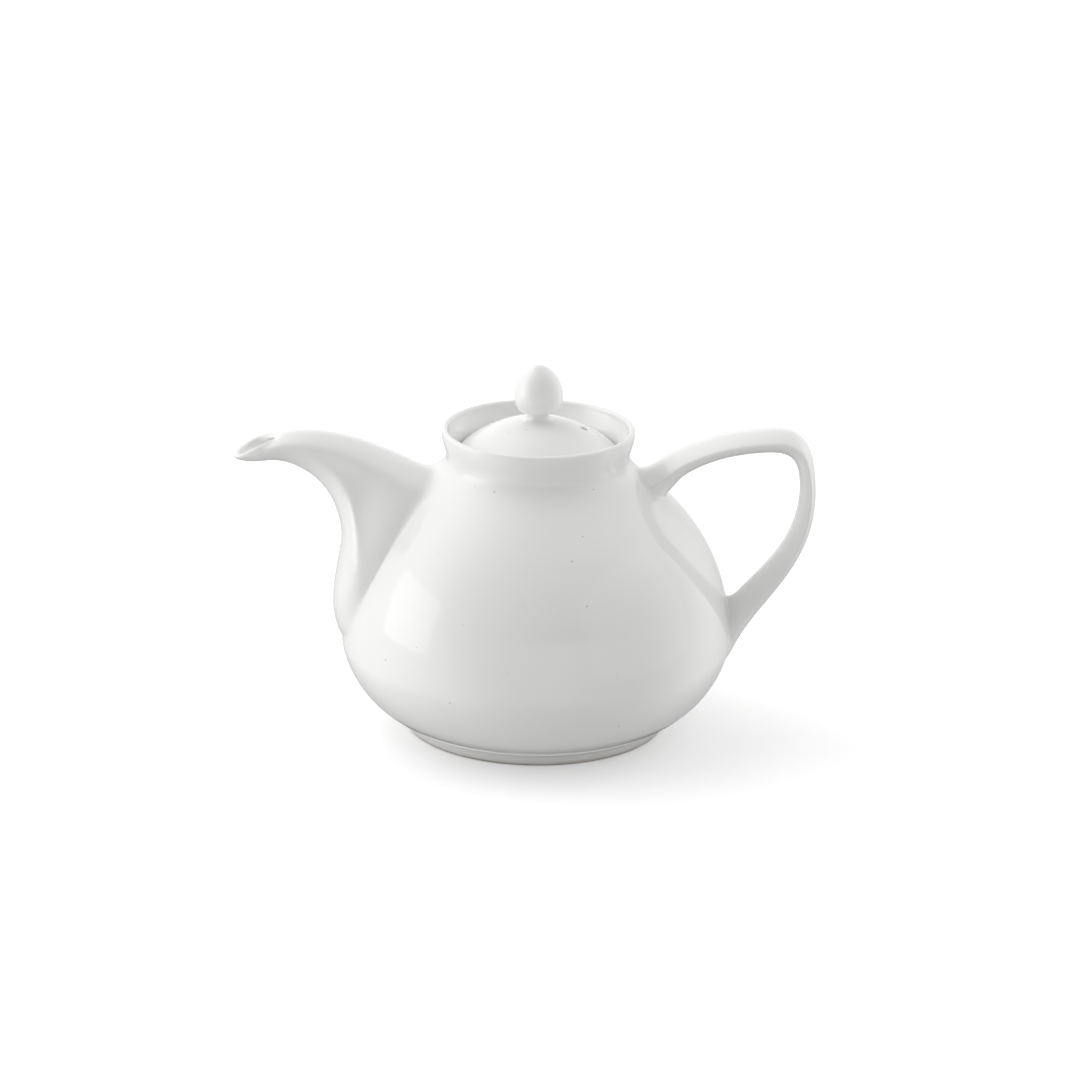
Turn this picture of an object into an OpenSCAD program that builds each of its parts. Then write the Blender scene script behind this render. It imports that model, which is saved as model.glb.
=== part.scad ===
// Porcelain teapot: pear-shaped pot with a flared collar, a broad raised spout,
// a looped handle and a domed lid that sits down inside the collar.
// The origin is the centre of the foot on the table. +Z is up, the spout points
// along -X and the handle along +X. Lengths are in millimetres.

/* [Pot] */
// Radius of the belly at its widest; every sideways size follows it
belly_r = 75.8; // [68:0.2:84]
// Height of the rim above the table; every height follows it
rim_h = 120.8; // [110:0.2:132]
// Thickness of the fired wall
wall_t = 4; // [3:0.5:5]
// Height of the foot ring
foot_h = 5; // [4:0.5:7]
// Width of the foot ring's wall
foot_w = 6; // [5:0.5:8]

/* [Lid] */
// Gap between the lid's edge and the collar
lid_gap = 0.8; // [0.5:0.1:1]
// Radius of the hole that the lid's flange drops into
throat_r = 27.2; // [24:0.2:28]
// Gap between the flange and the throat
flange_gap = 0.6; // [0.4:0.1:1]
// Height of the flange that keeps the lid in place
flange_h = 11; // [8:0.5:13]
// Diameter of the steam vent
vent_d = 2.4; // [2:0.2:4]
// Widest radius of the knob
knob_r = 9.4; // [8:0.2:11]

/* [Strainer] */
// Diameter of each strainer hole
hole_d = 4; // [3:0.5:5]
// Distance between neighbouring strainer holes
hole_pitch = 7.5; // [6.5:0.5:8]

/* [Hidden] */
$fn = 96;

glaze_white = [0.95, 0.95, 0.94];
bisque_white = [0.90, 0.88, 0.84];

// The outlines below are drawn for a 75.8 mm belly and a 120.8 mm rim.
wide = belly_r / 75.8;
tall = rim_h / 120.8;

// How deep the spout and the handle sink into the wall at their roots
root_sink = 1;
// Heights of the belly's widest point and of the narrowest point of the neck
belly_z = 35 * tall;
neck_z = 109.5 * tall;
neck_r = 35.6 * wide;
foot_r = 51 * wide;
lip_r = 1.2;
lip_z = rim_h - lip_r;
rim_r = 37.5 * wide;

// ---------------------------------------------------------------- curves
function bez(p, t) =
    let (u = 1 - t)
    u * u * u * p[0] + 3 * u * u * t * p[1] + 3 * u * t * t * p[2] + t * t * t * p[3];

function bez_slope(p, t) =
    let (u = 1 - t)
    u * u * (p[1] - p[0]) + 2 * u * t * (p[2] - p[1]) + t * t * (p[3] - p[2]);

// Points of a curve, from share t0 to t1 of its length
function run(p, n, t0 = 0, t1 = 1) = [for (i = [0:n]) bez(p, t0 + (t1 - t0) * i / n)];

// The same curve moved sideways by d, to its left where d is positive
function beside(p, n, d) =
    [for (i = [0:n])
        let (v = bez_slope(p, i / n))
        bez(p, i / n) + d * [-v.y, v.x] / norm(v)];

function sum(list, i = 0) = i < len(list) ? list[i] + sum(list, i + 1) : 0;
function average(points) = [for (j = [0:2]) sum([for (p = points) p[j]]) / len(points)];
function reversed(list) = [for (i = [len(list) - 1:-1:0]) list[i]];

function arc(centre, r, a0, a1, n) =
    [for (i = [0:n]) let (a = a0 + (a1 - a0) * i / n) centre + r * [cos(a), sin(a)]];

// A smooth path through every entry of a list, at place k from 0 to len - 1
function through(list, k) =
    let (
        last = len(list) - 1,
        i = min(floor(k), last - 1),
        t = k - i,
        a = list[max(i - 1, 0)],
        b = list[i],
        c = list[i + 1],
        d = list[min(i + 2, last)]
    )
    0.5 * (2 * b + (c - a) * t + (2 * a - 5 * b + 4 * c - d) * t * t
        + (3 * b - a - 3 * c + d) * t * t * t);

// Cuts every corner of a closed loop once
function soften(loop) =
    [for (i = [0:len(loop) - 1])
        let (a = loop[i], b = loop[(i + 1) % len(loop)])
        each [0.75 * a + 0.25 * b, 0.25 * a + 0.75 * b]];

// ---------------------------------------------------------------- pot body
bowl_curve = [[foot_r, foot_h], [68 * wide, 9.8 * tall], [belly_r, 28 * tall], [belly_r, belly_z]];
shoulder_curve = [[belly_r, belly_z], [belly_r, 86.2 * tall], [neck_r, 99.8 * tall], [neck_r, neck_z]];
flare_curve = [[neck_r, neck_z], [neck_r, 113 * tall], [rim_r, 115 * tall], [rim_r, lip_z]];

outer_line = concat(run(bowl_curve, 14), run(shoulder_curve, 26, 1 / 26), run(flare_curve, 8, 1 / 8));
// Outer radius of the pot against height
radius_table = [for (p = outer_line) [p.y, p.x]];
function pot_r(z) = lookup(z, radius_table);

lip_centre = [rim_r - lip_r, lip_z];
inner_bowl = beside(bowl_curve, 14, wall_t);
inner_shoulder = beside(shoulder_curve, 26, wall_t);

seat_z = 110.4 * tall;
seat_depth = 3.5;
ledge_foot_z = seat_z - 10 * tall;
collar_r = neck_r - wall_t;
// Inside of the collar, from the lip down to the lid's seat
collar_curve = [
    [rim_r - 2 * lip_r, lip_z], [34.4 * wide, 116 * tall], [collar_r, 115 * tall], [collar_r, seat_z]
];

module pot_body() {
    color(glaze_white)
    difference() {
        rotate_extrude() polygon(concat(
            [[0, foot_h]],
            outer_line,
            arc(lip_centre, lip_r, 20, 160, 8),
            run(collar_curve, 8, 1 / 8),
            [[throat_r, seat_z], [throat_r, seat_z - seat_depth]],
            [for (p = reversed(inner_shoulder)) if (p.y < ledge_foot_z) p],
            [for (i = [13:-1:0]) inner_bowl[i]],
            [[0, foot_h + wall_t]]
        ));
        strainer_holes();
    }
}

// Rows of holes behind the spout, drilled square to the wall
strainer_rows = [3, 4, 5, 4, 3];
strainer_z = 68 * tall;
wall_lean = 25;

module strainer_holes() {
    rows = len(strainer_rows);
    for (row = [0:rows - 1], i = [0:strainer_rows[row] - 1]) {
        z = strainer_z + (row - (rows - 1) / 2) * hole_pitch * sin(60);
        side = (i - (strainer_rows[row] - 1) / 2) * hole_pitch;
        turn = asin(side / pot_r(z));
        rotate([0, 0, 180 - turn])
        translate([pot_r(z) - wall_t / 2, 0, z])
        rotate([0, 90 - wall_lean, 0])
        cylinder(d = hole_d, h = 4 * wall_t, center = true, $fn = 32);
    }
}

// ---------------------------------------------------------------- foot ring
foot_edge = 1.2;

module foot_ring() {
    tread_out = foot_r - 0.4 - foot_edge;
    tread_in = foot_r - foot_w + foot_edge;
    color(bisque_white)
    rotate_extrude() polygon(concat(
        [[foot_r - foot_w - 0.6, foot_h]],
        arc([tread_in, foot_edge], foot_edge, 180, 270, 5),
        arc([tread_out, foot_edge], foot_edge, -90, 0, 5),
        [[foot_r, foot_h]]
    ));
}

// ---------------------------------------------------------------- swept forms
// Spout and handle are stacks of rings. Each ring lies in the plane through a point
// of the top line, a point of the bottom line and the Y axis. Its outline has a bowl
// from the bottom point up to an edge, a side, and a crowned band over the top point.
//   band = [half width, drop from crown to edge]
//   bowl = [half width, height of the edge above the bottom point]

bowl_steps = 5;
band_steps = 3;

function half_outline(high, band, bowl, bulge, bite, sides) = concat(
    [for (i = [0:bowl_steps])
        let (a = 90 * i / bowl_steps)
        [bowl[0] * pow(sin(a), bite), bowl[1] * (1 - pow(cos(a), bite))]],
    [for (i = [1:sides])
        let (t = i / (sides + 1), bow = 4 * bulge * t * (1 - t))
        [bowl[0] + (band[0] - bowl[0]) * t + bow, bowl[1] + (high - band[1] - bowl[1]) * t]],
    sides > 0 ? [[band[0], high - band[1]]] : [],
    [for (i = [1:band_steps])
        let (t = 1 - i / band_steps)
        [band[0] * t, high - band[1] * t * t]]
);

// Closed outline: up the +Y side, down the -Y side
function outline(half) =
    let (last = len(half) - 1)
    soften(concat(half, [for (i = [last - 1:-1:1]) [-half[i].x, half[i].y]]));

// Sets an outline into space between a bottom point and a top point
function place(loop, bottom, top) =
    let (up = (top - bottom) / norm(top - bottom))
    [for (p = loop) [bottom.x + up.x * p.y, p.x, bottom.y + up.y * p.y]];

// Moves a ring sideways onto the pot's surface, less the depth that it sinks
function onto_pot(ring, side) =
    [for (p = ring)
        let (r = pot_r(p.z) - root_sink)
        [side * sqrt(max(r * r - p.y * p.y, 1)), p.y, p.z]];

function band_faces(rings, n, closed) =
    [for (k = [0:rings - (closed ? 1 : 2)], i = [0:n - 1])
        let (
            a = k * n + i,
            b = k * n + (i + 1) % n,
            c = ((k + 1) % rings) * n + (i + 1) % n,
            d = ((k + 1) % rings) * n + i
        )
        each [[a, b, c], [a, c, d]]];

// ---------------------------------------------------------------- spout
spout_top = [for (p = [
    [-42, 103.3], [-48, 105.7], [-54, 108.8], [-60.5, 111.7], [-67, 114.2], [-73.5, 116.2],
    [-80, 117.6], [-86.5, 118.4], [-93, 118.4], [-97.6, 117.8], [-99.5, 117.2], [-99.9, 116.7]
]) [p.x * wide, p.y * tall]];
spout_keel = [for (p = [
    [-76.8, 36.8], [-79.3, 46.8], [-79, 57], [-77.4, 67], [-76.2, 76.5], [-77.4, 85.2],
    [-80.4, 92.7], [-85.2, 98.9], [-91.6, 103.5], [-100.8, 106.6], [-111, 106.1], [-118.2, 107.2]
]) [p.x * wide, p.y * tall]];
spout_band = [
    [14.5, 4], [14.8, 5], [14.2, 5.5], [13.2, 5.5], [12.4, 5.2], [11.6, 4.8],
    [10.8, 4.4], [10.2, 3.8], [9.7, 3.3], [9.3, 3.3], [9, 5], [8.6, 7.5]
];
spout_bowl = [
    [29, 28], [28, 26], [25.5, 24], [21.5, 21], [17.5, 18.5], [14.4, 16],
    [12, 13.5], [10.7, 12], [9.8, 10.2], [9.3, 7.3], [9, 8.8], [8.6, 12]
];
spout_bulge = [5.5, 3.5, 0.8, -0.8, -0.9, -0.7, -0.4, -0.2, 0, 0, 0, 0];
// Thickness along each ring at the roof and at the keel, and across it at the sides
spout_roof = [4.5, 4.2, 4, 4, 4, 4, 4, 4, 4, 3.8, 3.4, 3.2];
spout_floor = [20, 16, 13.5, 12.5, 9, 7, 6, 5, 4.2, 3.4, 3, 2.4];
spout_side = [4, 4, 4, 3.8, 3.6, 3.4, 3.3, 3.2, 3.2, 3.2, 3, 2.6];

spout_steps = 3;
spout_last = len(spout_top) - 1;
spout_sides = 3;
spout_n = 2 * (2 * (bowl_steps + spout_sides + 1 + band_steps));

function spout_ring(k) =
    let (top = through(spout_top, k), keel = through(spout_keel, k))
    place(
        outline(half_outline(norm(top - keel), through(spout_band, k), through(spout_bowl, k),
            through(spout_bulge, k), 1, spout_sides)),
        keel, top);

function bore_ring(k) =
    let (
        top = through(spout_top, k),
        keel = through(spout_keel, k),
        up = (top - keel) / norm(top - keel),
        roof = through(spout_roof, k),
        low = through(spout_floor, k),
        side = through(spout_side, k),
        high = norm(top - keel) - roof - low,
        band = through(spout_band, k),
        bowl = through(spout_bowl, k),
        edge = min(max(bowl[1] - low, 0.36 * high), 0.6 * high),
        drop = min(band[1], 0.3 * high)
    )
    place(
        outline(half_outline(high, [band[0] - side, drop], [bowl[0] - side, edge],
            max(through(spout_bulge, k), 0), 1, spout_sides)),
        keel + up * low, top - up * roof);

// Rounds the rim of the mouth between the outside and the bore
lip_steps = 4;
mouth_lift = 1.1;
function mouth_ring(u) =
    let (
        out = spout_ring(spout_last),
        bore = bore_ring(spout_last),
        run_up = spout_top[spout_last] - spout_keel[spout_last],
        lift = mouth_lift * sin(180 * u) * [-run_up.y, 0, run_up.x] / norm(run_up),
        share = (1 - cos(180 * u)) / 2
    )
    [for (i = [0:len(out) - 1]) out[i] * (1 - share) + bore[i] * share + lift];

spout_rings = concat(
    [onto_pot(spout_ring(0), -1)],
    [for (i = [1:spout_last * spout_steps]) spout_ring(i / spout_steps)],
    [for (i = [1:lip_steps - 1]) mouth_ring(i / lip_steps)],
    [for (i = [spout_last * spout_steps:-1:1]) bore_ring(i / spout_steps)],
    [onto_pot(bore_ring(0), -1)]
);

module spout() {
    color(glaze_white)
    polyhedron(
        points = [for (ring = spout_rings) each ring],
        faces = band_faces(len(spout_rings), spout_n, true),
        convexity = 6);
}

// ---------------------------------------------------------------- handle
handle_outer = [for (p = [
    [41, 103.4], [50.2, 109.7], [60.9, 115.2], [74, 119.2], [87.2, 121.1], [97.8, 120.5],
    [104.8, 114.3], [107.6, 103], [108, 91.2], [105.7, 78.4], [100, 65.6],
    [92.5, 54.4], [84.8, 44], [78.6, 33.8], [75, 25.3]
]) [p.x * wide, p.y * tall]];
handle_inner = [for (p = [
    [51, 94.8], [55.8, 101.4], [63.6, 106.4], [74.4, 110.2], [85.5, 112], [94.7, 111.8],
    [100, 107.6], [101.7, 99.4], [101.1, 90.3], [98.1, 80.4], [92.6, 71.1],
    [86.3, 63.5], [80.8, 57.5], [77.5, 54], [73.9, 52.4]
]) [p.x * wide, p.y * tall]];
handle_half = [11, 10.8, 10.6, 10.5, 10.4, 10, 9.4, 8.8, 8.5, 8.3, 8.1, 8, 8, 7.8, 7];
// Drop from the outer face to the ridge, as a share of the thickness
handle_ridge = [0.42, 0.4, 0.38, 0.36, 0.35, 0.34, 0.32, 0.3, 0.3, 0.3, 0.3, 0.3, 0.32, 0.38, 0.45];
handle_bite = 1.25;
handle_steps = 3;
handle_last = len(handle_outer) - 1;
handle_n = 2 * (2 * (bowl_steps + band_steps));

function handle_ring(k) =
    let (
        top = through(handle_outer, k),
        low = through(handle_inner, k),
        high = norm(top - low),
        half = through(handle_half, k),
        drop = high * through(handle_ridge, k)
    )
    place(
        outline(half_outline(high, [half, drop], [half, high - drop], 0, handle_bite, 0)),
        low, top);

handle_rings = concat(
    [onto_pot(handle_ring(0), 1)],
    [for (i = [1:handle_last * handle_steps - 1]) handle_ring(i / handle_steps)],
    [onto_pot(handle_ring(handle_last), 1)]
);

module handle() {
    count = len(handle_rings);
    ends = [
        onto_pot([average(handle_rings[0])], 1)[0],
        onto_pot([average(handle_rings[count - 1])], 1)[0]
    ];
    first = count * handle_n;
    color(glaze_white)
    polyhedron(
        points = concat([for (ring = handle_rings) each ring], ends),
        faces = concat(
            [for (f = band_faces(count, handle_n, false)) reversed(f)],
            [for (i = [0:handle_n - 1]) [i, (i + 1) % handle_n, first]],
            [for (i = [0:handle_n - 1])
                [first - handle_n + (i + 1) % handle_n, first - handle_n + i, first + 1]]
        ),
        convexity = 6);
}

// ---------------------------------------------------------------- lid
lid_r = collar_r - lid_gap;
// Clearance of the glaze between the lid and its seat
seat_gap = 0.1;
lid_base_z = seat_z + seat_gap;
lid_edge_z = lid_base_z + 1.4;
dome_r = 44;
dome_z = lid_edge_z - sqrt(dome_r * dome_r - lid_r * lid_r);
dome_angle = acos(lid_r / dome_r);
lid_t = wall_t;
flange_r = throat_r - flange_gap;
flange_in = flange_r - 3.4;
flange_z = lid_base_z - flange_h;
knob_foot_r = 6.4;
knob_z = dome_z + sqrt(dome_r * dome_r - knob_foot_r * knob_foot_r);
vent_x = 17.6;

module lid() {
    knob_angle = acos(knob_foot_r / dome_r);
    inner_angle = acos(flange_in / (dome_r - lid_t));
    dome_centre = [0, dome_z];
    color(glaze_white)
    difference() {
        rotate_extrude() polygon(concat(
            [[0, knob_z]],
            reversed(arc(dome_centre, dome_r, dome_angle, knob_angle, 24)),
            [[lid_r, lid_base_z + 0.7], [lid_r - 0.7, lid_base_z]],
            [[flange_r, lid_base_z]],
            arc([flange_r - 1.7, flange_z + 1.7], 1.7, 0, -180, 8),
            arc(dome_centre, dome_r - lid_t, inner_angle, 90, 20)
        ));
        translate([vent_x, 0, dome_z + dome_r - 3 * lid_t])
        cylinder(d = vent_d, h = 5 * lid_t, $fn = 32);
    }
}

// ---------------------------------------------------------------- lid knob
// Heights are above the seat of the knob on the dome.
knob_h = 22.1;
stem_r = 4.2;

module lid_knob() {
    stem_curve = [[knob_foot_r, 0], [5, 0.3], [stem_r, 0.9], [stem_r, 2.4]];
    under_curve = [[stem_r, 2.4], [stem_r, 3.7], [6.2, 3.4], [7.2, 4]];
    bulb_low = [[7.2, 4], [8.7, 4.9], [knob_r, 6.9], [knob_r, 9.1]];
    bulb_high = [[knob_r, 9.1], [knob_r, 13.2], [8, 16.6], [6, 18.7]];
    tip_curve = [[6, 18.7], [4.8, 20], [3.5, 20.9], [2.2, 21.6]];
    seat = [0, knob_z];
    color(glaze_white)
    rotate_extrude() polygon([
        for (p = concat(
            [[0, 0]],
            run(stem_curve, 5),
            run(under_curve, 5, 1 / 5),
            run(bulb_low, 6, 1 / 6),
            run(bulb_high, 10, 1 / 10),
            run(tip_curve, 6, 1 / 6),
            [[1.2, 21.98], [0, knob_h]]
        )) p + seat
    ]);
}

// ---------------------------------------------------------------- assembly
pot_body();
foot_ring();
spout();
handle();
lid();
lid_knob();
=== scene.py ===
"""Looks of the porcelain teapot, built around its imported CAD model.

The pot stands on the origin with its spout along -X and its handle along +X.
Shapes are worked out in millimetres and turned to metres as meshes are made.
"""

from math import asin, cos, pi, radians, sin, sqrt

import bmesh
import bpy
import numpy as np
from mathutils import Matrix, Vector


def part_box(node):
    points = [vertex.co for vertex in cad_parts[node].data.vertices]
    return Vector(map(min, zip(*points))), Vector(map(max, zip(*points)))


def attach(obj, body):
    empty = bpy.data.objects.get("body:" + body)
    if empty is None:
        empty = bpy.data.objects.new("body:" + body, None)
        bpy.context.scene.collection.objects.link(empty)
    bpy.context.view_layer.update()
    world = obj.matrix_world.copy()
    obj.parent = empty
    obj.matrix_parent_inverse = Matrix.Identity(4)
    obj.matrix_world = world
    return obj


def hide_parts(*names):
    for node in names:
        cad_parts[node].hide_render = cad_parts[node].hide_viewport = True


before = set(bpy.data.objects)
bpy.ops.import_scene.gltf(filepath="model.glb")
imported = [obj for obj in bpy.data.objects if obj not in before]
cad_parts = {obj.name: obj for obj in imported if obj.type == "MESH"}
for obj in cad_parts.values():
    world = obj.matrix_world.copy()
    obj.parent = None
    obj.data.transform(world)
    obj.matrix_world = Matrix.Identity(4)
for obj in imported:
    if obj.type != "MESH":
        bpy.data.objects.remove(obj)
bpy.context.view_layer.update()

MM = 0.001
pot_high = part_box("pot_body")[1] / MM
foot_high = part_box("foot_ring")[1] / MM
lid_low, lid_high = (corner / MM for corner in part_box("lid"))
knob_low, knob_high = (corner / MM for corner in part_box("lid_knob"))

# The outlines below are drawn for a 75.8 mm belly and a 120.8 mm rim.
belly_r = pot_high.x
rim_h = pot_high.z
wide = belly_r / 75.8
tall = rim_h / 120.8
WALL = 4


# ---------------------------------------------------------------- curves
def bezier(controls, steps):
    """steps + 1 points of a cubic curve."""
    p = np.array(controls, float)
    t = np.linspace(0, 1, steps + 1)[:, None]
    u = 1 - t
    return u**3 * p[0] + 3 * u * u * t * p[1] + 3 * u * t * t * p[2] + t**3 * p[3]


def arc(centre, radius, start, end, steps):
    """steps + 1 points of a circle's arc, between two angles in degrees."""
    a = np.radians(np.linspace(start, end, steps + 1))
    return np.array(centre) + radius * np.stack([np.cos(a), np.sin(a)], 1)


def beside(line, distance):
    """A line moved to its left by a distance."""
    slope = np.gradient(line, axis=0)
    slope /= np.linalg.norm(slope, axis=1)[:, None]
    return line + distance * np.stack([-slope[:, 1], slope[:, 0]], 1)


def unit(vectors):
    return vectors / np.linalg.norm(vectors, axis=-1, keepdims=True)


def rounded(line, radius, limit=20, steps=8):
    """A line with every corner of more than limit degrees turned into a round one."""
    line = np.array(line, float)
    step = np.linalg.norm(np.diff(line, axis=0), axis=1)
    line = line[np.concatenate([[True], step > 1e-6])]
    heading = unit(np.diff(line, axis=0))
    turn = np.degrees(np.arccos(np.clip((heading[1:] * heading[:-1]).sum(1), -1, 1)))
    along = np.concatenate([[0], np.cumsum(np.linalg.norm(np.diff(line, axis=0), axis=1))])
    corners = [i + 1 for i in range(len(turn)) if turn[i] > limit]
    stops = [0] + [along[i] for i in corners] + [along[-1]]

    def at(distance):
        return np.array([np.interp(distance, along, line[:, j]) for j in range(2)])

    result, begin = [], 0.0
    for number, i in enumerate(corners):
        here = along[i]
        reach = min(radius, 0.45 * (here - stops[number]), 0.45 * (stops[number + 2] - here))
        result += [p for p, s in zip(line, along) if begin <= s < here - reach]
        a, b, c = at(here - reach), line[i], at(here + reach)
        for t in np.linspace(0, 1, steps + 1):
            result.append((1 - t) ** 2 * a + 2 * t * (1 - t) * b + t * t * c)
        begin = here + reach + 1e-6
    result += [p for p, s in zip(line, along) if s >= begin]
    return np.array(result)


def spline(values):
    """A function that runs smoothly through a list, at places 0 to len - 1."""
    y = np.array(values, float)
    y = y[:, None] if y.ndim == 1 else y
    n = len(y)
    system = np.eye(n)
    right = np.zeros_like(y)
    for i in range(1, n - 1):
        system[i, i - 1 : i + 2] = 1, 4, 1
        right[i] = 6 * (y[i - 1] - 2 * y[i] + y[i + 1])
    bend = np.linalg.solve(system, right)

    def at(k):
        i = min(int(k), n - 2)
        t = k - i
        u = 1 - t
        value = u * y[i] + t * y[i + 1]
        value = value + ((u**3 - u) * bend[i] + (t**3 - t) * bend[i + 1]) / 6
        return value if len(value) > 1 else float(value[0])

    return at


# ---------------------------------------------------------------- meshes
def mesh_object(name, points, faces):
    """A smooth-shaded object from points in millimetres, with its faces turned outwards."""
    mesh = bpy.data.meshes.new(name)
    mesh.from_pydata((np.array(points) * MM).tolist(), [], faces)
    tidy = bmesh.new()
    tidy.from_mesh(mesh)
    bmesh.ops.recalc_face_normals(tidy, faces=tidy.faces)
    tidy.to_mesh(mesh)
    tidy.free()
    mesh.shade_smooth()
    result = bpy.data.objects.new(name, mesh)
    bpy.context.scene.collection.objects.link(result)
    return result


def grid_faces(rows, around, closed):
    """Faces between rows of points, each row a closed loop."""
    faces = []
    for k in range(rows if closed else rows - 1):
        low, high = k * around, (k + 1) % rows * around
        for i in range(around):
            j = (i + 1) % around
            faces.append((low + i, low + j, high + j, high + i))
    return faces


TURNS = 256


def revolve(name, line, around=TURNS):
    """A solid turned about Z from an outline of (radius, height) points.
    The outline either starts and ends on the axis, or closes on itself."""
    line = np.array(line, float)
    on_axis = line[0][0] < 1e-6
    rings = line[1:-1] if on_axis else line
    a = np.linspace(0, 2 * pi, around, endpoint=False)
    points = [(r * cos(t), r * sin(t), z) for r, z in rings for t in a]
    faces = grid_faces(len(rings), around, not on_axis)
    if on_axis:
        first, last = len(points), (len(rings) - 1) * around
        points += [(0, 0, line[0][1]), (0, 0, line[-1][1])]
        for i in range(around):
            j = (i + 1) % around
            faces.append((j, i, first))
            faces.append((last + i, last + j, first + 1))
    return mesh_object(name, points, faces)


def cut(piece, cutters):
    """Takes the cutters out of a piece and keeps the new edges crisp."""
    for cutter in cutters:
        change = piece.modifiers.new("hole", "BOOLEAN")
        change.operation = "DIFFERENCE"
        change.solver = "EXACT"
        change.object = cutter
    made = piece.evaluated_get(bpy.context.evaluated_depsgraph_get())
    mesh = bpy.data.meshes.new_from_object(made)
    piece.modifiers.clear()
    piece.data = mesh
    mesh.shade_smooth()
    mesh.set_sharp_from_angle(angle=radians(40))
    for cutter in cutters:
        bpy.data.objects.remove(cutter)


def finish_piece(piece, node, body, material):
    """Gives a piece its material, sets it on its body and hides its CAD node."""
    piece.data.materials.clear()
    piece.data.materials.append(material)
    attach(piece, body)
    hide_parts(node)


# ---------------------------------------------------------------- materials
def node_adder(tree):
    def add(kind, **values):
        node = tree.nodes.new(kind)
        for key, value in values.items():
            if key in node.inputs:
                node.inputs[key].default_value = value
            else:
                setattr(node, key, value)
        return node

    return add


GLAZE_WHITE = (0.86, 0.86, 0.85, 1)
BISQUE_WHITE = (0.74, 0.71, 0.66, 1)
SPECK_GREY = (0.30, 0.27, 0.23, 1)
GLAZE_ROUGHNESS = 0.07
BISQUE_ROUGHNESS = 0.62
# Metres between specks' cells, and a speck's core and edge as shares of that
SPECK_SPACING = 1 / 115
SPECK_CORE = 0.020
SPECK_EDGE = 0.038
# Metres above the table where the foot's glaze starts and is full, before it wanders
GLAZE_START = 0.0019
GLAZE_FULL = 0.0023
GLAZE_WANDER = 0.0016


def glaze(name, foot=False):
    """Clear glaze over white porcelain: slightly wavy, with a few kiln specks.
    With foot, the glaze stops above the tread and leaves bare porcelain."""
    material = bpy.data.materials.new(name)
    material.use_nodes = True
    tree = material.node_tree
    add, link = node_adder(tree), tree.links.new
    shader = tree.nodes["Principled BSDF"]
    shader.inputs["Roughness"].default_value = GLAZE_ROUGHNESS
    shader.inputs["IOR"].default_value = 1.52
    where = add("ShaderNodeTexCoord")

    # Waves of 35 mm from the pouring of the glaze, and a finer orange peel
    waves = add("ShaderNodeTexNoise", Scale=28.0, Detail=1.0, Roughness=0.4)
    peel = add("ShaderNodeTexNoise", Scale=520.0, Detail=2.0, Roughness=0.5)
    waves_bump = add("ShaderNodeBump", Strength=1.0, Distance=0.00035)
    peel_bump = add("ShaderNodeBump", Strength=1.0, Distance=0.0000045)
    link(where.outputs["Object"], waves.inputs["Vector"])
    link(where.outputs["Object"], peel.inputs["Vector"])
    link(waves.outputs["Fac"], waves_bump.inputs["Height"])
    link(peel.outputs["Fac"], peel_bump.inputs["Height"])
    link(waves_bump.outputs["Normal"], peel_bump.inputs["Normal"])
    link(peel_bump.outputs["Normal"], shader.inputs["Normal"])

    # Specks of about half a millimetre, where a cell's centre lies close to the surface
    cells = add("ShaderNodeTexVoronoi", Scale=1 / SPECK_SPACING, Randomness=1.0)
    speck = add("ShaderNodeMapRange", **{"From Min": SPECK_CORE, "From Max": SPECK_EDGE})
    speck.inputs["To Min"].default_value = 1.0
    speck.inputs["To Max"].default_value = 0.0
    tint = add("ShaderNodeMix", data_type="RGBA")
    colour_a, colour_b = [s for s in tint.inputs if s.type == "RGBA"]
    colour_a.default_value = GLAZE_WHITE
    colour_b.default_value = SPECK_GREY
    link(where.outputs["Object"], cells.inputs["Vector"])
    link(cells.outputs["Distance"], speck.inputs["Value"])
    link(speck.outputs["Result"], tint.inputs["Factor"])
    colour = next(s for s in tint.outputs if s.type == "RGBA")

    if foot:
        # The glaze line wanders a little along the foot's lower edge.
        split = add("ShaderNodeSeparateXYZ")
        wander = add("ShaderNodeTexNoise", Scale=160.0, Detail=3.0)
        edge = add("ShaderNodeMath", operation="MULTIPLY_ADD")
        edge.inputs[1].default_value = GLAZE_WANDER
        glazed = add("ShaderNodeMapRange", **{"From Min": GLAZE_START, "From Max": GLAZE_FULL})
        rough = add("ShaderNodeMapRange", **{"To Min": BISQUE_ROUGHNESS, "To Max": GLAZE_ROUGHNESS})
        mix = add("ShaderNodeMix", data_type="RGBA")
        mix_a, mix_b = [s for s in mix.inputs if s.type == "RGBA"]
        mix_a.default_value = BISQUE_WHITE
        link(where.outputs["Object"], split.inputs["Vector"])
        link(where.outputs["Object"], wander.inputs["Vector"])
        link(wander.outputs["Fac"], edge.inputs[0])
        link(split.outputs["Z"], edge.inputs[2])
        link(edge.outputs["Value"], glazed.inputs["Value"])
        link(glazed.outputs["Result"], mix.inputs["Factor"])
        link(glazed.outputs["Result"], rough.inputs["Value"])
        link(rough.outputs["Result"], shader.inputs["Roughness"])
        link(colour, mix_b)
        colour = next(s for s in mix.outputs if s.type == "RGBA")
    link(colour, shader.inputs["Base Color"])
    return material


# ---------------------------------------------------------------- pot body
FOOT_R = 51 * wide
NECK_R = 35.6 * wide
RIM_R = 37.5 * wide
LIP_R = 1.2
THROAT_R = 27.2
SEAT_DEPTH = 3.5
FOOT_H = foot_high.z
lip_z = rim_h - LIP_R
seat_z = 110.4 * tall
belly_z = 35 * tall
neck_z = 109.5 * tall

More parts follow.
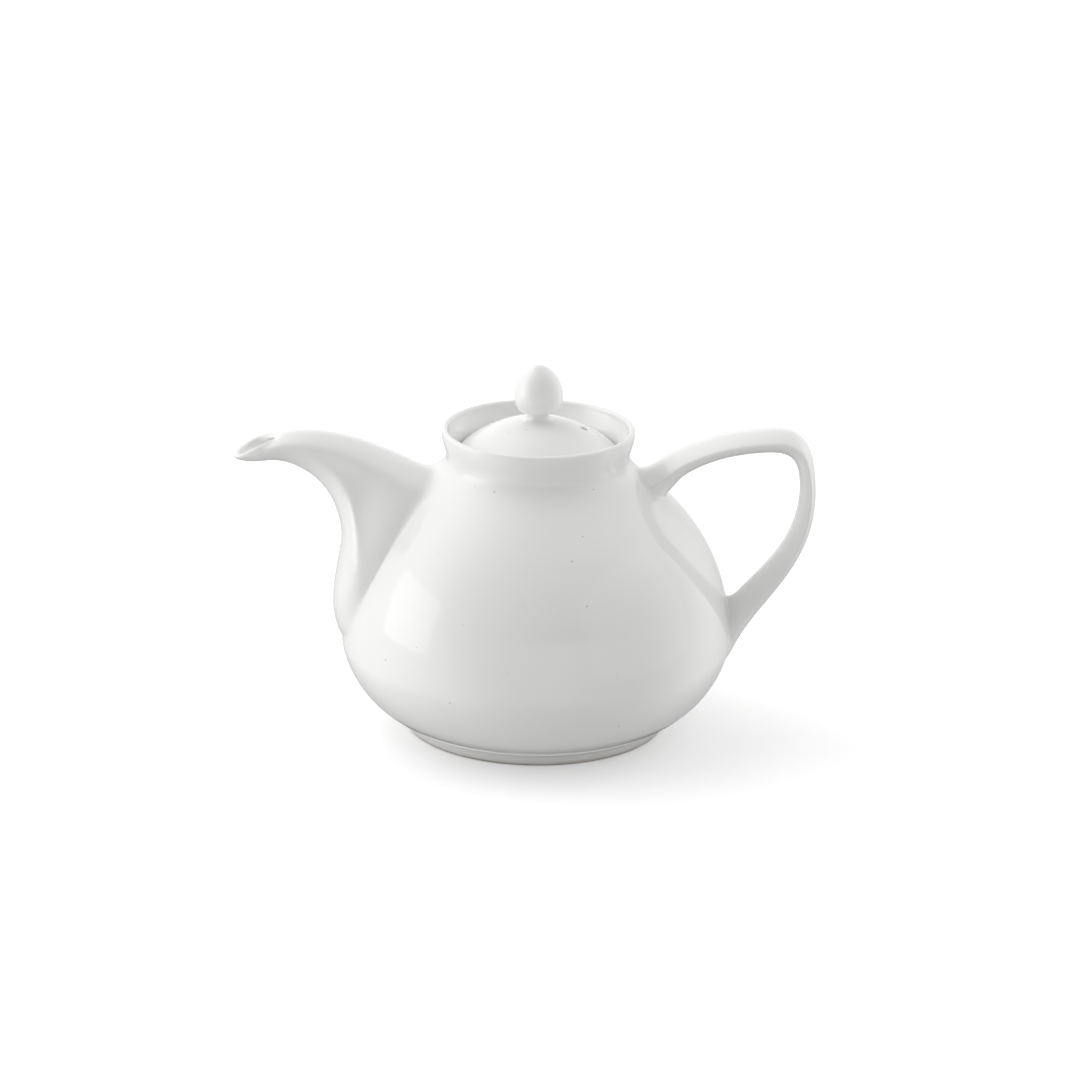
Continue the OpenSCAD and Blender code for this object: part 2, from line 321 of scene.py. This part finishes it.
bowl_line = bezier(
    [(FOOT_R, FOOT_H), (68 * wide, 9.8 * tall), (belly_r, 28 * tall), (belly_r, belly_z)], 40
)
shoulder_line = bezier(
    [(belly_r, belly_z), (belly_r, 86.2 * tall), (NECK_R, 99.8 * tall), (NECK_R, neck_z)], 90
)
flare_line = bezier(
    [(NECK_R, neck_z), (NECK_R, 113 * tall), (RIM_R, 115 * tall), (RIM_R, lip_z)], 20
)
outer_line = np.concatenate([bowl_line, shoulder_line[1:], flare_line[1:]])


def pot_radius(z):
    """Outer radius of the pot at a height."""
    return np.interp(z, outer_line[:, 1], outer_line[:, 0])


def pot_normal(points):
    """Outward direction of the pot's surface at points on it."""
    slope = (pot_radius(points[:, 2] + 0.2) - pot_radius(points[:, 2] - 0.2)) / 0.4
    flat = unit(points[:, :2])
    return unit(np.column_stack([flat, -slope]))


def build_pot_body():
    """The hollow pot with its collar, the ledge for the lid and the strainer."""
    collar_r = NECK_R - WALL
    collar_line = bezier(
        [(RIM_R - 2 * LIP_R, lip_z), (34.4 * wide, 116 * tall), (collar_r, 115 * tall), (collar_r, seat_z)],
        20,
    )
    inner_bowl = beside(bowl_line, WALL)[::-1]
    inner_shoulder = beside(shoulder_line, WALL)[::-1]
    ledge_foot_z = seat_z - 10 * tall
    lines = [
        [(0, FOOT_H)],
        outer_line,
        arc((RIM_R - LIP_R, lip_z), LIP_R, 10, 170, 14),
        collar_line,
        [(THROAT_R, seat_z), (THROAT_R, seat_z - SEAT_DEPTH)],
        inner_shoulder[inner_shoulder[:, 1] < ledge_foot_z],
        inner_bowl[1:-1],
        [(0, FOOT_H + WALL)],
    ]
    body = revolve("pot_body_shell", rounded(np.concatenate(lines), 0.9))
    cut(body, strainer_cutters())
    return body


STRAINER_ROWS = (3, 4, 5, 4, 3)
HOLE_D = 4
HOLE_PITCH = 7.5
STRAINER_Z = 68 * tall
WALL_LEAN = 25


def strainer_cutters():
    """Drills for the rows of holes behind the spout, square to the wall."""
    drills = []
    middle = (len(STRAINER_ROWS) - 1) / 2
    for row, count in enumerate(STRAINER_ROWS):
        z = STRAINER_Z + (row - middle) * HOLE_PITCH * sin(radians(60))
        r = float(pot_radius(z))
        for i in range(count):
            side = (i - (count - 1) / 2) * HOLE_PITCH
            turn = pi - asin(side / r)
            tilt = Matrix.Rotation(radians(90 - WALL_LEAN), 4, "Y")
            spot = Matrix.Translation(Vector(((r - WALL / 2) * MM, 0, z * MM)))
            spin = Matrix.Rotation(turn, 4, "Z")
            bit = [(0, -2 * WALL), (HOLE_D / 2, -2 * WALL), (HOLE_D / 2, 2 * WALL), (0, 2 * WALL)]
            drills.append(drill(bit, spin @ spot @ tilt))
    return drills


def drill(line, where, around=40):
    """A round cutter, turned from its outline and set in its place."""
    result = revolve("drill", line, around)
    result.data.transform(where)
    return result


# ---------------------------------------------------------------- foot ring
def build_foot_ring():
    """A short ring with a rounded tread, running out into the bowl in a small hollow."""
    inner_r = foot_high.x - 6
    outer_r = foot_high.x - 0.4
    edge = 1.2
    hollow = bezier([(outer_r, 1.6), (outer_r, 4.3), (FOOT_R + 0.6, 4.9), (FOOT_R + 3.4, 5.75)], 12)
    lines = [
        [(inner_r - 0.6, FOOT_H + 0.5), (inner_r - 0.6, FOOT_H)],
        bezier([(inner_r - 0.6, FOOT_H - 0.05), (inner_r - 0.1, 4.4), (inner_r, 3.6), (inner_r, 2.4)], 6),
        arc((inner_r + edge, edge), edge, 180, 270, 8),
        arc((outer_r - edge, edge), edge, -90, 0, 8),
        hollow,
        [(FOOT_R + 3.2, 6.3), (FOOT_R, 5.5)],
    ]
    return revolve("foot_ring_turned", np.concatenate(lines))


# ---------------------------------------------------------------- swept forms
# Spout and handle are stacks of rings. Each ring lies in the plane through a point
# of the top line, a point of the bottom line and the Y axis. Its outline has a bowl
# from the bottom point up to an edge, a side, and a crowned band over the top point.
#   band = (half width, drop from crown to edge)
#   bowl = (half width, height of the edge above the bottom point)
BOWL_STEPS = 22
SIDE_STEPS = 14
BAND_STEPS = 12
RINGS_PER_STATION = 10


def half_outline(high, band, bowl, bulge=0.0, bite=1.0, sides=True):
    """Half of a ring's outline, from its bottom point to its top point high above it."""
    a = np.linspace(0, pi / 2, BOWL_STEPS + 1)
    parts = [
        np.stack([bowl[0] * np.sin(a) ** bite, bowl[1] * (1 - np.cos(a).clip(0) ** bite)], 1)
    ]
    if sides:
        t = np.linspace(0, 1, SIDE_STEPS + 1)[1:]
        bow = 4 * bulge * t * (1 - t)
        y = bowl[0] + (band[0] - bowl[0]) * t + bow
        z = bowl[1] + (high - band[1] - bowl[1]) * t
        parts.append(np.stack([y, z], 1))
    t = np.linspace(1, 0, BAND_STEPS + 1)[1:]
    parts.append(np.stack([band[0] * t, high - band[1] * t * t], 1))
    return np.concatenate(parts)


def evenly(loop, count):
    """The same closed loop with its points evenly spaced, starting at the same point."""
    closed = np.concatenate([loop, loop[:1]])
    along = np.concatenate([[0], np.cumsum(np.linalg.norm(np.diff(closed, axis=0), axis=1))])
    spots = np.linspace(0, along[-1], count, endpoint=False)
    return np.stack([np.interp(spots, along, closed[:, j]) for j in range(2)], 1)


LOOP_POINTS = 128


def outline(half, softness):
    """A closed outline from its half, with its edges rounded over softness millimetres."""
    mirrored = half[-2:0:-1] * np.array([-1, 1])
    loop = evenly(np.concatenate([half, mirrored]), LOOP_POINTS)
    spacing = np.linalg.norm(loop[1] - loop[0])
    for _ in range(int(2 * (softness / spacing) ** 2)):
        loop = 0.5 * loop + 0.25 * (np.roll(loop, 1, 0) + np.roll(loop, -1, 0))
    return loop


def place(loop, bottom, top):
    """Sets an outline into space between a bottom point and a top point."""
    up = unit(top - bottom)
    return np.stack(
        [bottom[0] + up[0] * loop[:, 1], loop[:, 0], bottom[1] + up[1] * loop[:, 1]], 1
    )


def onto_pot(ring, side, sink=0.0):
    """Moves a ring along X onto the pot's surface, or below it by sink."""
    r = pot_radius(ring[:, 2]) - sink
    x = side * np.sqrt(np.maximum(r * r - ring[:, 1] ** 2, 1))
    return np.column_stack([x, ring[:, 1:]])


def against_pot(ring, sink=0.0):
    """Moves a ring towards the axis onto the pot's surface, or below it by sink."""
    scale = (pot_radius(ring[:, 2]) - sink) / np.hypot(ring[:, 0], ring[:, 1])
    return np.column_stack([ring[:, 0] * scale, ring[:, 1] * scale, ring[:, 2]])


def bezier_rings(controls, steps):
    """steps + 1 rings along cubic curves, one curve for each point of a ring."""
    rings = []
    for t in np.linspace(0, 1, steps + 1):
        u = 1 - t
        weights = (u**3, 3 * u * u * t, 3 * u * t * t, t**3)
        rings.append(sum(w * c for w, c in zip(weights, controls)))
    return rings


# How far a root's outer edge lies under the pot's surface, and what closes it behind
SEAM_SINK = 0.04
EDGE_SINK = 0.5
BEHIND_SINK = 0.7


def root_rows(ring, beyond, seat, spread, steps=12):
    """Rings that run a swept form's skin out onto the pot in a hollow fillet.
    ring is where the fillet starts, beyond the next ring outwards, and seat the
    loop where the skin would meet the pot. The fillet ends spread further out, and
    then the skin dips under the pot's surface, so that its end doesn't show."""
    normal = pot_normal(seat)
    outwards = np.cross(np.roll(seat, -1, 0) - np.roll(seat, 1, 0), normal)
    outwards = unit(outwards)
    if (outwards * (seat - seat.mean(0))).sum() < 0:
        outwards = -outwards
    foot = against_pot(seat + spread * outwards)
    run_out = foot - seat
    normal = pot_normal(foot)
    run_out = unit(run_out - (run_out * normal).sum(1)[:, None] * normal)
    reach = np.linalg.norm(ring - seat, axis=1)[:, None]
    controls = [
        foot,
        foot - 0.75 * spread * run_out,
        ring + 0.75 * reach * unit(ring - beyond),
        ring,
    ]
    rows = [
        against_pot(foot + 2.4 * run_out, EDGE_SINK),
        against_pot(foot + 1.4 * run_out, 2 * SEAM_SINK),
        against_pot(foot + 0.7 * run_out, SEAM_SINK),
    ]
    return rows + bezier_rings(controls, steps)[:-1]


def behind_skin(start, end, steps=8):
    """Rings between two others that stay a little under the pot's surface."""
    shares = np.linspace(0, 1, steps + 2)[1:-1]
    return [against_pot(start + (end - start) * share, BEHIND_SINK) for share in shares]


# ---------------------------------------------------------------- spout
def stations(points):
    return spline([(x * wide, z * tall) for x, z in points])


spout_top = stations(
    [(-42, 103.3), (-48, 105.7), (-54, 108.8), (-60.5, 111.7), (-67, 114.2), (-73.5, 116.2)]
    + [(-80, 117.6), (-86.5, 118.4), (-93, 118.4), (-97.6, 117.8), (-99.5, 117.2), (-99.9, 116.7)]
)
spout_keel = stations(
    [(-76.8, 36.8), (-79.3, 46.8), (-79, 57), (-77.4, 67), (-76.2, 76.5), (-77.4, 85.2)]
    + [(-80.4, 92.7), (-85.2, 98.9), (-91.6, 103.5), (-100.8, 106.6), (-111, 106.1), (-118.2, 107.2)]
)
spout_band = spline(
    [(14.5, 4), (14.8, 5), (14.2, 5.5), (13.2, 5.5), (12.4, 5.2), (11.6, 4.8)]
    + [(10.8, 4.4), (10.2, 3.8), (9.7, 3.3), (9.3, 3.3), (9, 5), (8.6, 7.5)]
)
spout_bowl = spline(
    [(29, 28), (28, 26), (25.5, 24), (21.5, 21), (17.5, 18.5), (14.4, 16)]
    + [(12, 13.5), (10.7, 12), (9.8, 10.2), (9.3, 7.3), (9, 8.8), (8.6, 12)]
)
spout_bulge = spline([5.5, 3.5, 0.8, -0.8, -0.9, -0.7, -0.4, -0.2, 0, 0, 0, 0])
# Thickness of the wall along each ring at the roof and at the keel, and at the sides
spout_roof = spline([4.5, 4.2, 4, 4, 4, 4, 4, 4, 4, 3.8, 3.2, 1.6])
spout_floor = spline([20, 16, 13.5, 12.5, 9, 7, 6, 5, 4.2, 4.2, 4.0, 3.0])
spout_side = spline([4, 4, 4, 3.8, 3.6, 3.4, 3.3, 3.2, 3.2, 3.6, 3.5, 2.6])
# How far the bore's roof narrows as it nears the mouth
bore_pinch = spline([0, 0, 0, 0, 0, 0, 0, 0, 0, 0.3, 1.2, 1.0])
SPOUT_FIRST = 0.4
BORE_FIRST = 0.3
SPOUT_LAST = 11
SPOUT_EDGE = 1.7
BORE_EDGE = 1.2


def spout_ring(k):
    top, keel = spout_top(k), spout_keel(k)
    half = half_outline(
        np.linalg.norm(top - keel), spout_band(k), spout_bowl(k), spout_bulge(k)
    )
    return place(outline(half, SPOUT_EDGE), keel, top)


def bore_ring(k):
    top, keel = spout_top(k), spout_keel(k)
    up = unit(top - keel)
    roof, low, side = spout_roof(k), spout_floor(k), spout_side(k)
    band, bowl = spout_band(k), spout_bowl(k)
    high = np.linalg.norm(top - keel) - roof - low
    near_mouth = min(max(k - (SPOUT_LAST - 2), 0) / 2, 1)
    edge = np.clip(bowl[1] - low, 0.36 * high, 0.6 * high)
    edge += (0.38 * high - edge) * near_mouth
    drop = min(band[1], 0.3 * high)
    half = half_outline(
        high,
        (band[0] - side - bore_pinch(k), drop),
        (bowl[0] - side, edge),
        max(spout_bulge(k), 0) + 0.8 * near_mouth,
    )
    return place(outline(half, BORE_EDGE), keel + up * low, top - up * roof)


# Where along the stations the rim starts, how round it is and how far it stands proud
MOUTH_AT = 10.88
MOUTH_ROUNDING = 0.62
MOUTH_LIFT = 0.9
LIP_STEPS = 12


def mouth_rings():
    """Rounds the rim of the mouth, from the slope of the outside to that of the bore."""
    outside, bore = spout_ring(MOUTH_AT), bore_ring(MOUTH_AT)
    thickness = np.linalg.norm(outside - bore, axis=1)[:, None]

    def heading(ring, before):
        along = unit(np.roll(ring, -1, 0) - np.roll(ring, 1, 0))
        step = ring - before
        return unit(step - (step * along).sum(1)[:, None] * along)

    # The rim stands a little proud at the tip of the spout and runs out at its back.
    run_up = unit(spout_top(MOUTH_AT) - spout_keel(MOUTH_AT))
    along = (outside[:, 0] * run_up[0] + outside[:, 2] * run_up[1])[:, None]
    back = (along - along.min()) / (along.max() - along.min())
    lift = MOUTH_LIFT * (1 - back**3) * np.array([-run_up[1], 0, run_up[0]])
    leaving = heading(outside, spout_ring(MOUTH_AT - 0.1))
    entering = heading(bore, bore_ring(MOUTH_AT - 0.1))
    controls = [
        outside,
        outside + MOUTH_ROUNDING * thickness * leaving + lift,
        bore + MOUTH_ROUNDING * thickness * entering + lift,
        bore,
    ]
    return bezier_rings(controls, LIP_STEPS)[1:-1]


def build_spout():
    """The spout: its outside, the rim of its mouth and its bore, as one closed skin."""
    start = SPOUT_FIRST
    places = np.linspace(start, MOUTH_AT, round((MOUTH_AT - start) * RINGS_PER_STATION))
    inside = np.linspace(MOUTH_AT, BORE_FIRST, round(MOUTH_AT * RINGS_PER_STATION))
    seat = onto_pot(spout_ring(0), -1)
    # The fillet is tight under the keel and wide where the band meets the neck.
    spread = np.interp(seat[:, 2], (38 * tall, 60 * tall, 102 * tall), (1.0, 2.6, 5.0))[:, None]
    rows = root_rows(spout_ring(start), spout_ring(start + 0.1), seat, spread)
    rows += [spout_ring(k) for k in places]
    rows += mouth_rings()
    rows += [bore_ring(k) for k in inside]
    rows.append(onto_pot(bore_ring(0), -1, 0.6))
    rows += behind_skin(rows[-1], rows[0])
    return mesh_object(
        "spout_cast", np.concatenate(rows), grid_faces(len(rows), LOOP_POINTS, True)
    )


# ---------------------------------------------------------------- handle
handle_outer = stations(
    [(41, 103.4), (50.2, 109.7), (60.9, 115.2), (74, 119.2), (87.2, 121.1), (97.8, 120.5)]
    + [(104.8, 114.3), (107.6, 103), (108, 91.2), (105.7, 78.4), (100, 65.6)]
    + [(92.5, 54.4), (84.8, 44), (78.6, 33.8), (75, 25.3)]
)
handle_inner = stations(
    [(51, 94.8), (55.8, 101.4), (63.6, 106.4), (74.4, 110.2), (85.5, 112), (94.7, 111.8)]
    + [(100, 107.6), (101.7, 99.4), (101.1, 90.3), (98.1, 80.4), (92.6, 71.1)]
    + [(86.3, 63.5), (80.8, 57.5), (77.5, 54), (73.9, 52.4)]
)
handle_half = spline([11, 10.8, 10.6, 10.5, 10.4, 10, 9.4, 8.8, 8.5, 8.3, 8.1, 8, 8, 7.8, 7])
# Drop from the outer face to the ridge, as a share of the thickness
handle_ridge = spline(
    [0.42, 0.4, 0.38, 0.36, 0.35, 0.34, 0.32, 0.3, 0.3, 0.3, 0.3, 0.3, 0.32, 0.38, 0.45]
)
HANDLE_BITE = 1.25
HANDLE_LAST = 14
HANDLE_EDGE = 0.9
UPPER_FILLET = 2.8
LOWER_FILLET = 2.6


def handle_ring(k):
    top, low = handle_outer(k), handle_inner(k)
    high = np.linalg.norm(top - low)
    half = handle_half(k)
    drop = high * handle_ridge(k)
    section = half_outline(high, (half, drop), (half, high - drop), bite=HANDLE_BITE, sides=False)
    return place(outline(section, HANDLE_EDGE), low, top)


def build_handle():
    """The handle, with a hollow fillet at each root and closed behind the pot's skin."""
    first, last = 0.6, HANDLE_LAST - 0.7
    places = np.linspace(first, last, round((last - first) * RINGS_PER_STATION))
    upper_seat = onto_pot(handle_ring(0), 1)
    lower_seat = onto_pot(handle_ring(HANDLE_LAST), 1)
    upper = root_rows(handle_ring(first), handle_ring(first + 0.1), upper_seat, UPPER_FILLET)
    lower = root_rows(handle_ring(last), handle_ring(last - 0.1), lower_seat, LOWER_FILLET)
    middles = [onto_pot(seat.mean(0)[None], 1, 1.0) for seat in (upper_seat, lower_seat)]
    upper = behind_skin(middles[0], upper[0]) + upper
    lower = behind_skin(middles[1], lower[0]) + lower
    rows = upper + [handle_ring(k) for k in places] + lower[::-1]
    points = np.concatenate(rows)
    faces = grid_faces(len(rows), LOOP_POINTS, False)
    end = len(points) - LOOP_POINTS
    for i in range(LOOP_POINTS):
        j = (i + 1) % LOOP_POINTS
        faces.append((j, i, len(points)))
        faces.append((end + i, end + j, len(points) + 1))
    return mesh_object("handle_cast", np.concatenate([points, *middles]), faces)


# ---------------------------------------------------------------- lid
DOME_R = 44
LID_WALL = WALL
VENT_R = 1.2
VENT_X = 17.6
lid_r = lid_high.x
flange_z = lid_low.z
lid_base_z = seat_z + 0.1
lid_edge_z = lid_base_z + 1.4
dome_z = lid_edge_z - sqrt(DOME_R**2 - lid_r**2)
knob_z = knob_low.z


def dome_angle(r, radius=DOME_R):
    """Angle in degrees at which the dome has radius r."""
    return 90 - np.degrees(asin(r / radius))


def build_lid():
    """A domed lid with a flange that drops into the throat, and a steam vent."""
    flange_r = THROAT_R - 0.6
    flange_in = flange_r - 3.4
    knob_foot_r = 6.4
    centre = (0, dome_z)
    lines = [
        [(0, knob_z)],
        arc(centre, DOME_R, dome_angle(knob_foot_r), dome_angle(lid_r), 48),
        [(lid_r, lid_base_z), (flange_r, lid_base_z)],
        arc((flange_r - 1.7, flange_z + 1.7), 1.7, 0, -180, 16),
        arc(centre, DOME_R - LID_WALL, dome_angle(flange_in, DOME_R - LID_WALL), 90, 40),
    ]
    lid = revolve("lid_dome", rounded(np.concatenate(lines), 0.8))
    top = Matrix.Translation(Vector((VENT_X, 0, dome_z + sqrt(DOME_R**2 - VENT_X**2))) * MM)
    lean = Matrix.Rotation(asin(VENT_X / DOME_R), 4, "Y")
    bore = [(0, -2 * LID_WALL), (VENT_R, -2 * LID_WALL), (VENT_R, 2), (0, 2)]
    flare = bezier([(VENT_R, -0.9), (VENT_R, -0.3), (1.45, 0), (2.3, 0.1)], 6)
    mouth = np.concatenate([[(0, -0.9)], flare, [(2.3, 0.6), (0, 0.6)]])
    cut(lid, [drill(bore, top), drill(mouth, top @ lean)])
    return lid


def build_lid_knob():
    """A turned bud on a short waist, with a small round point at its top."""
    widest = knob_high.x
    lines = [
        [(0, -0.3), (6.9, -0.3)],
        bezier([(6.9, -0.12), (5.2, 0.25), (4.2, 0.9), (4.2, 2.4)], 12),
        bezier([(4.2, 2.4), (4.2, 3.7), (6.2, 3.4), (7.2, 4)], 12)[1:],
        bezier([(7.2, 4), (8.7, 4.9), (widest, 6.9), (widest, 9.1)], 14)[1:],
        bezier([(widest, 9.1), (widest, 13.2), (8, 16.6), (6, 18.7)], 24)[1:],
        bezier([(6, 18.7), (4.8, 20), (3.5, 20.9), (2.2, 21.6)], 12)[1:],
        bezier([(2.2, 21.6), (1.6, 21.9), (0.8, 22.1), (0, 22.1)], 8)[1:],
    ]
    return revolve("lid_knob_bud", np.concatenate(lines) + (0, knob_z), 192)


# ---------------------------------------------------------------- pieces
finish_piece(build_pot_body(), "pot_body", "pot", glaze("pot_glaze"))
finish_piece(build_foot_ring(), "foot_ring", "pot", glaze("foot_bisque", foot=True))
finish_piece(build_spout(), "spout", "pot", glaze("spout_glaze"))
finish_piece(build_handle(), "handle", "pot", glaze("handle_glaze"))
finish_piece(build_lid(), "lid", "lid", glaze("lid_glaze"))
finish_piece(build_lid_knob(), "lid_knob", "lid", glaze("knob_glaze"))


# ---------------------------------------------------------------- camera
def add_camera():
    """The camera, aimed at the pot from the front and a little above."""
    distance, elevation, roll = 2.1, radians(19.4), radians(0.74)
    aim = Vector((0.0012, 0, 0.0748))
    pivot = Vector((0, 0, 0.060))
    location = pivot + distance * Vector((0, -cos(elevation), sin(elevation)))
    forward = (aim - location).normalized()
    level = forward.cross(Vector((0, 0, 1))).normalized()
    upright = level.cross(forward)
    right = cos(roll) * level + sin(roll) * upright
    up = cos(roll) * upright - sin(roll) * level
    data = bpy.data.cameras.new("camera")
    data.lens = 179.2
    camera = bpy.data.objects.new("camera", data)
    turn = Matrix((right, up, -forward)).transposed().to_4x4()
    camera.matrix_world = Matrix.Translation(location) @ turn
    bpy.context.scene.collection.objects.link(camera)
    bpy.context.scene.camera = camera


# ---------------------------------------------------------------- studio
FLOOR_GLOW = 0.24


def add_floor():
    """A pale floor that glows a little, so that it reads as a lit sweep."""
    size = 6
    mesh = bpy.data.meshes.new("floor")
    corners = [(-size, -size, 0), (size, -size, 0), (size, size, 0), (-size, size, 0)]
    mesh.from_pydata(corners, [], [(0, 1, 2, 3)])
    floor = bpy.data.objects.new("floor", mesh)
    bpy.context.scene.collection.objects.link(floor)
    material = bpy.data.materials.new("floor_paper")
    material.use_nodes = True
    shader = material.node_tree.nodes["Principled BSDF"]
    shader.inputs["Base Color"].default_value = (0.9, 0.9, 0.9, 1)
    shader.inputs["Roughness"].default_value = 0.9
    shader.inputs["Emission Color"].default_value = (1, 1, 1, 1)
    shader.inputs["Emission Strength"].default_value = FLOOR_GLOW
    mesh.materials.append(material)
    # The pot is lit from below as if it stood on a lit sweep, not by this floor.
    floor.visible_diffuse = False
    floor.visible_glossy = False


def add_flag():
    """A dark card just under the floor, which lets the pot's light through. It shades
    the foot as the table would, and the camera doesn't see it."""
    radius = 57 * MM
    mesh = bpy.data.meshes.new("flag")
    turns = np.linspace(0, 2 * pi, 64, endpoint=False)
    mesh.from_pydata([(radius * cos(a), radius * sin(a), -0.3 * MM) for a in turns], [], [range(64)])
    flag = bpy.data.objects.new("flag", mesh)
    bpy.context.scene.collection.objects.link(flag)
    material = bpy.data.materials.new("flag_cloth")
    material.use_nodes = True
    shader = material.node_tree.nodes["Principled BSDF"]
    shader.inputs["Base Color"].default_value = (0.25, 0.25, 0.25, 1)
    shader.inputs["Roughness"].default_value = 0.9
    mesh.materials.append(material)
    flag.visible_camera = False
    flag.visible_shadow = False


def towards(azimuth, elevation):
    """A direction from the pot. Azimuth runs from the front towards +X, in degrees."""
    a, e = radians(azimuth), radians(elevation)
    return Vector((sin(a) * cos(e), -cos(a) * cos(e), sin(e)))


def add_softbox(name, azimuth, elevation, distance, width, height, radiance, glints_only):
    """A soft rectangular light aimed at the pot, seen in its glaze."""
    aim = Vector((0, 0, 0.07))
    direction = towards(azimuth, elevation)
    data = bpy.data.lights.new(name, "AREA")
    data.shape = "RECTANGLE"
    data.size = width
    data.size_y = height
    data.energy = radiance * pi * width * height
    light = bpy.data.objects.new(name, data)
    light.location = aim + distance * direction
    light.rotation_euler = direction.to_track_quat("Z", "Y").to_euler()
    light.visible_diffuse = not glints_only
    bpy.context.scene.collection.objects.link(light)


# The room's dim level, and its broad soft lights as azimuth, elevation, strength and
# narrowness: walls and windows, then the ceiling, then the pale table top
ROOM_LEVEL = 0.27
ROOM_LIGHTS = (
    (-85, 12, 1.7, 10),
    (-150, 20, 0.8, 8),
    (130, 12, 1.1, 8),
    (180, 0, 0.6, 6),
    (-110, 50, 1.9, 7),
    (105, 50, 0.9, 7),
    (-60, -22, 1.2, 8),
    (-110, -22, 0.8, 8),
    (105, -22, 1.0, 8),
)
# A pale board low in front of the pot: its strength, the height of its edge, the
# direction it is brightest in, and how narrow it is
BOARD_STRENGTH = 0.9
BOARD_EDGE = 0.2
BOARD_TOWARDS = (15, -5)
BOARD_NARROWNESS = 6


def add_world():
    """A studio that is dim in front, and bright to the left, behind and above."""
    world = bpy.data.worlds.new("studio")
    bpy.context.scene.world = world
    world.use_nodes = True
    tree = world.node_tree
    add, link = node_adder(tree), tree.links.new
    background = tree.nodes["Background"]
    where = add("ShaderNodeTexCoord")

    def lobe(direction, narrowness):
        """How strongly a soft light shows in each direction, from 0 to 1."""
        dot = add("ShaderNodeVectorMath", operation="DOT_PRODUCT")
        dot.inputs[1].default_value = direction
        front = add("ShaderNodeMath", operation="MAXIMUM")
        shape = add("ShaderNodeMath", operation="POWER")
        front.inputs[1].default_value = 0
        shape.inputs[1].default_value = narrowness
        link(where.outputs["Generated"], dot.inputs[0])
        link(dot.outputs["Value"], front.inputs[0])
        link(front.outputs[0], shape.inputs[0])
        return shape.outputs[0]

    def plus(level, share, strength):
        total = add("ShaderNodeMath", operation="MULTIPLY_ADD")
        total.inputs[1].default_value = strength
        link(share, total.inputs[0])
        if isinstance(level, float):
            total.inputs[2].default_value = level
        else:
            link(level, total.inputs[2])
        return total.outputs[0]

    level = ROOM_LEVEL
    for azimuth, elevation, strength, narrowness in ROOM_LIGHTS:
        level = plus(level, lobe(towards(azimuth, elevation), narrowness), strength)
    split = add("ShaderNodeSeparateXYZ")
    board = add("ShaderNodeMapRange", **{"From Min": BOARD_EDGE + 0.01, "From Max": BOARD_EDGE - 0.01})
    both = add("ShaderNodeMath", operation="MULTIPLY")
    link(where.outputs["Generated"], split.inputs["Vector"])
    link(split.outputs["Z"], board.inputs["Value"])
    link(board.outputs["Result"], both.inputs[0])
    link(lobe(towards(*BOARD_TOWARDS), BOARD_NARROWNESS), both.inputs[1])
    level = plus(level, both.outputs[0], BOARD_STRENGTH)
    link(level, background.inputs["Strength"])
    background.inputs["Color"].default_value = (1, 1, 1, 1)


add_camera()
add_floor()
add_world()
add_flag()
add_softbox("right_softbox", 66, 16, 1.5, 2.0, 1.6, 0.36, False)
add_softbox("left_window", -82, 9, 1.5, 1.0, 0.8, 1.1, True)
bpy.context.scene.view_settings.view_transform = "Standard"
